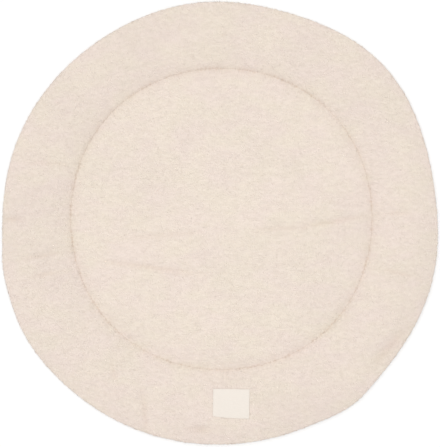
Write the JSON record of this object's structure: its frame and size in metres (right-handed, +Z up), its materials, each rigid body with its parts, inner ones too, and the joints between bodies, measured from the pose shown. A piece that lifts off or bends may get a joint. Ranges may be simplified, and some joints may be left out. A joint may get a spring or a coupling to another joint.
{
  "type": "baby play mat",
  "caption": "Round padded play mat in short-pile fleece, with one sewn ring that parts a disc from a border and a small blank label near the edge.",
  "frame": {"origin": "on the floor, under the middle of the mat's box", "axes": "+Z up from the floor through the mat's thickness; the label is on the -Y side, and +X is to the right of someone who looks down on the mat with the label nearest to them"},
  "size_m": [0.9841, 1.0006, 0.0264],
  "materials": {
    "fleece": "matt short pile, warm cream",
    "label_cloth": "matt woven cotton, off-white"
  },
  "bodies": {
    "root": {"mat": "fleece", "label": "label_cloth"}
  },
  "joints": []
}
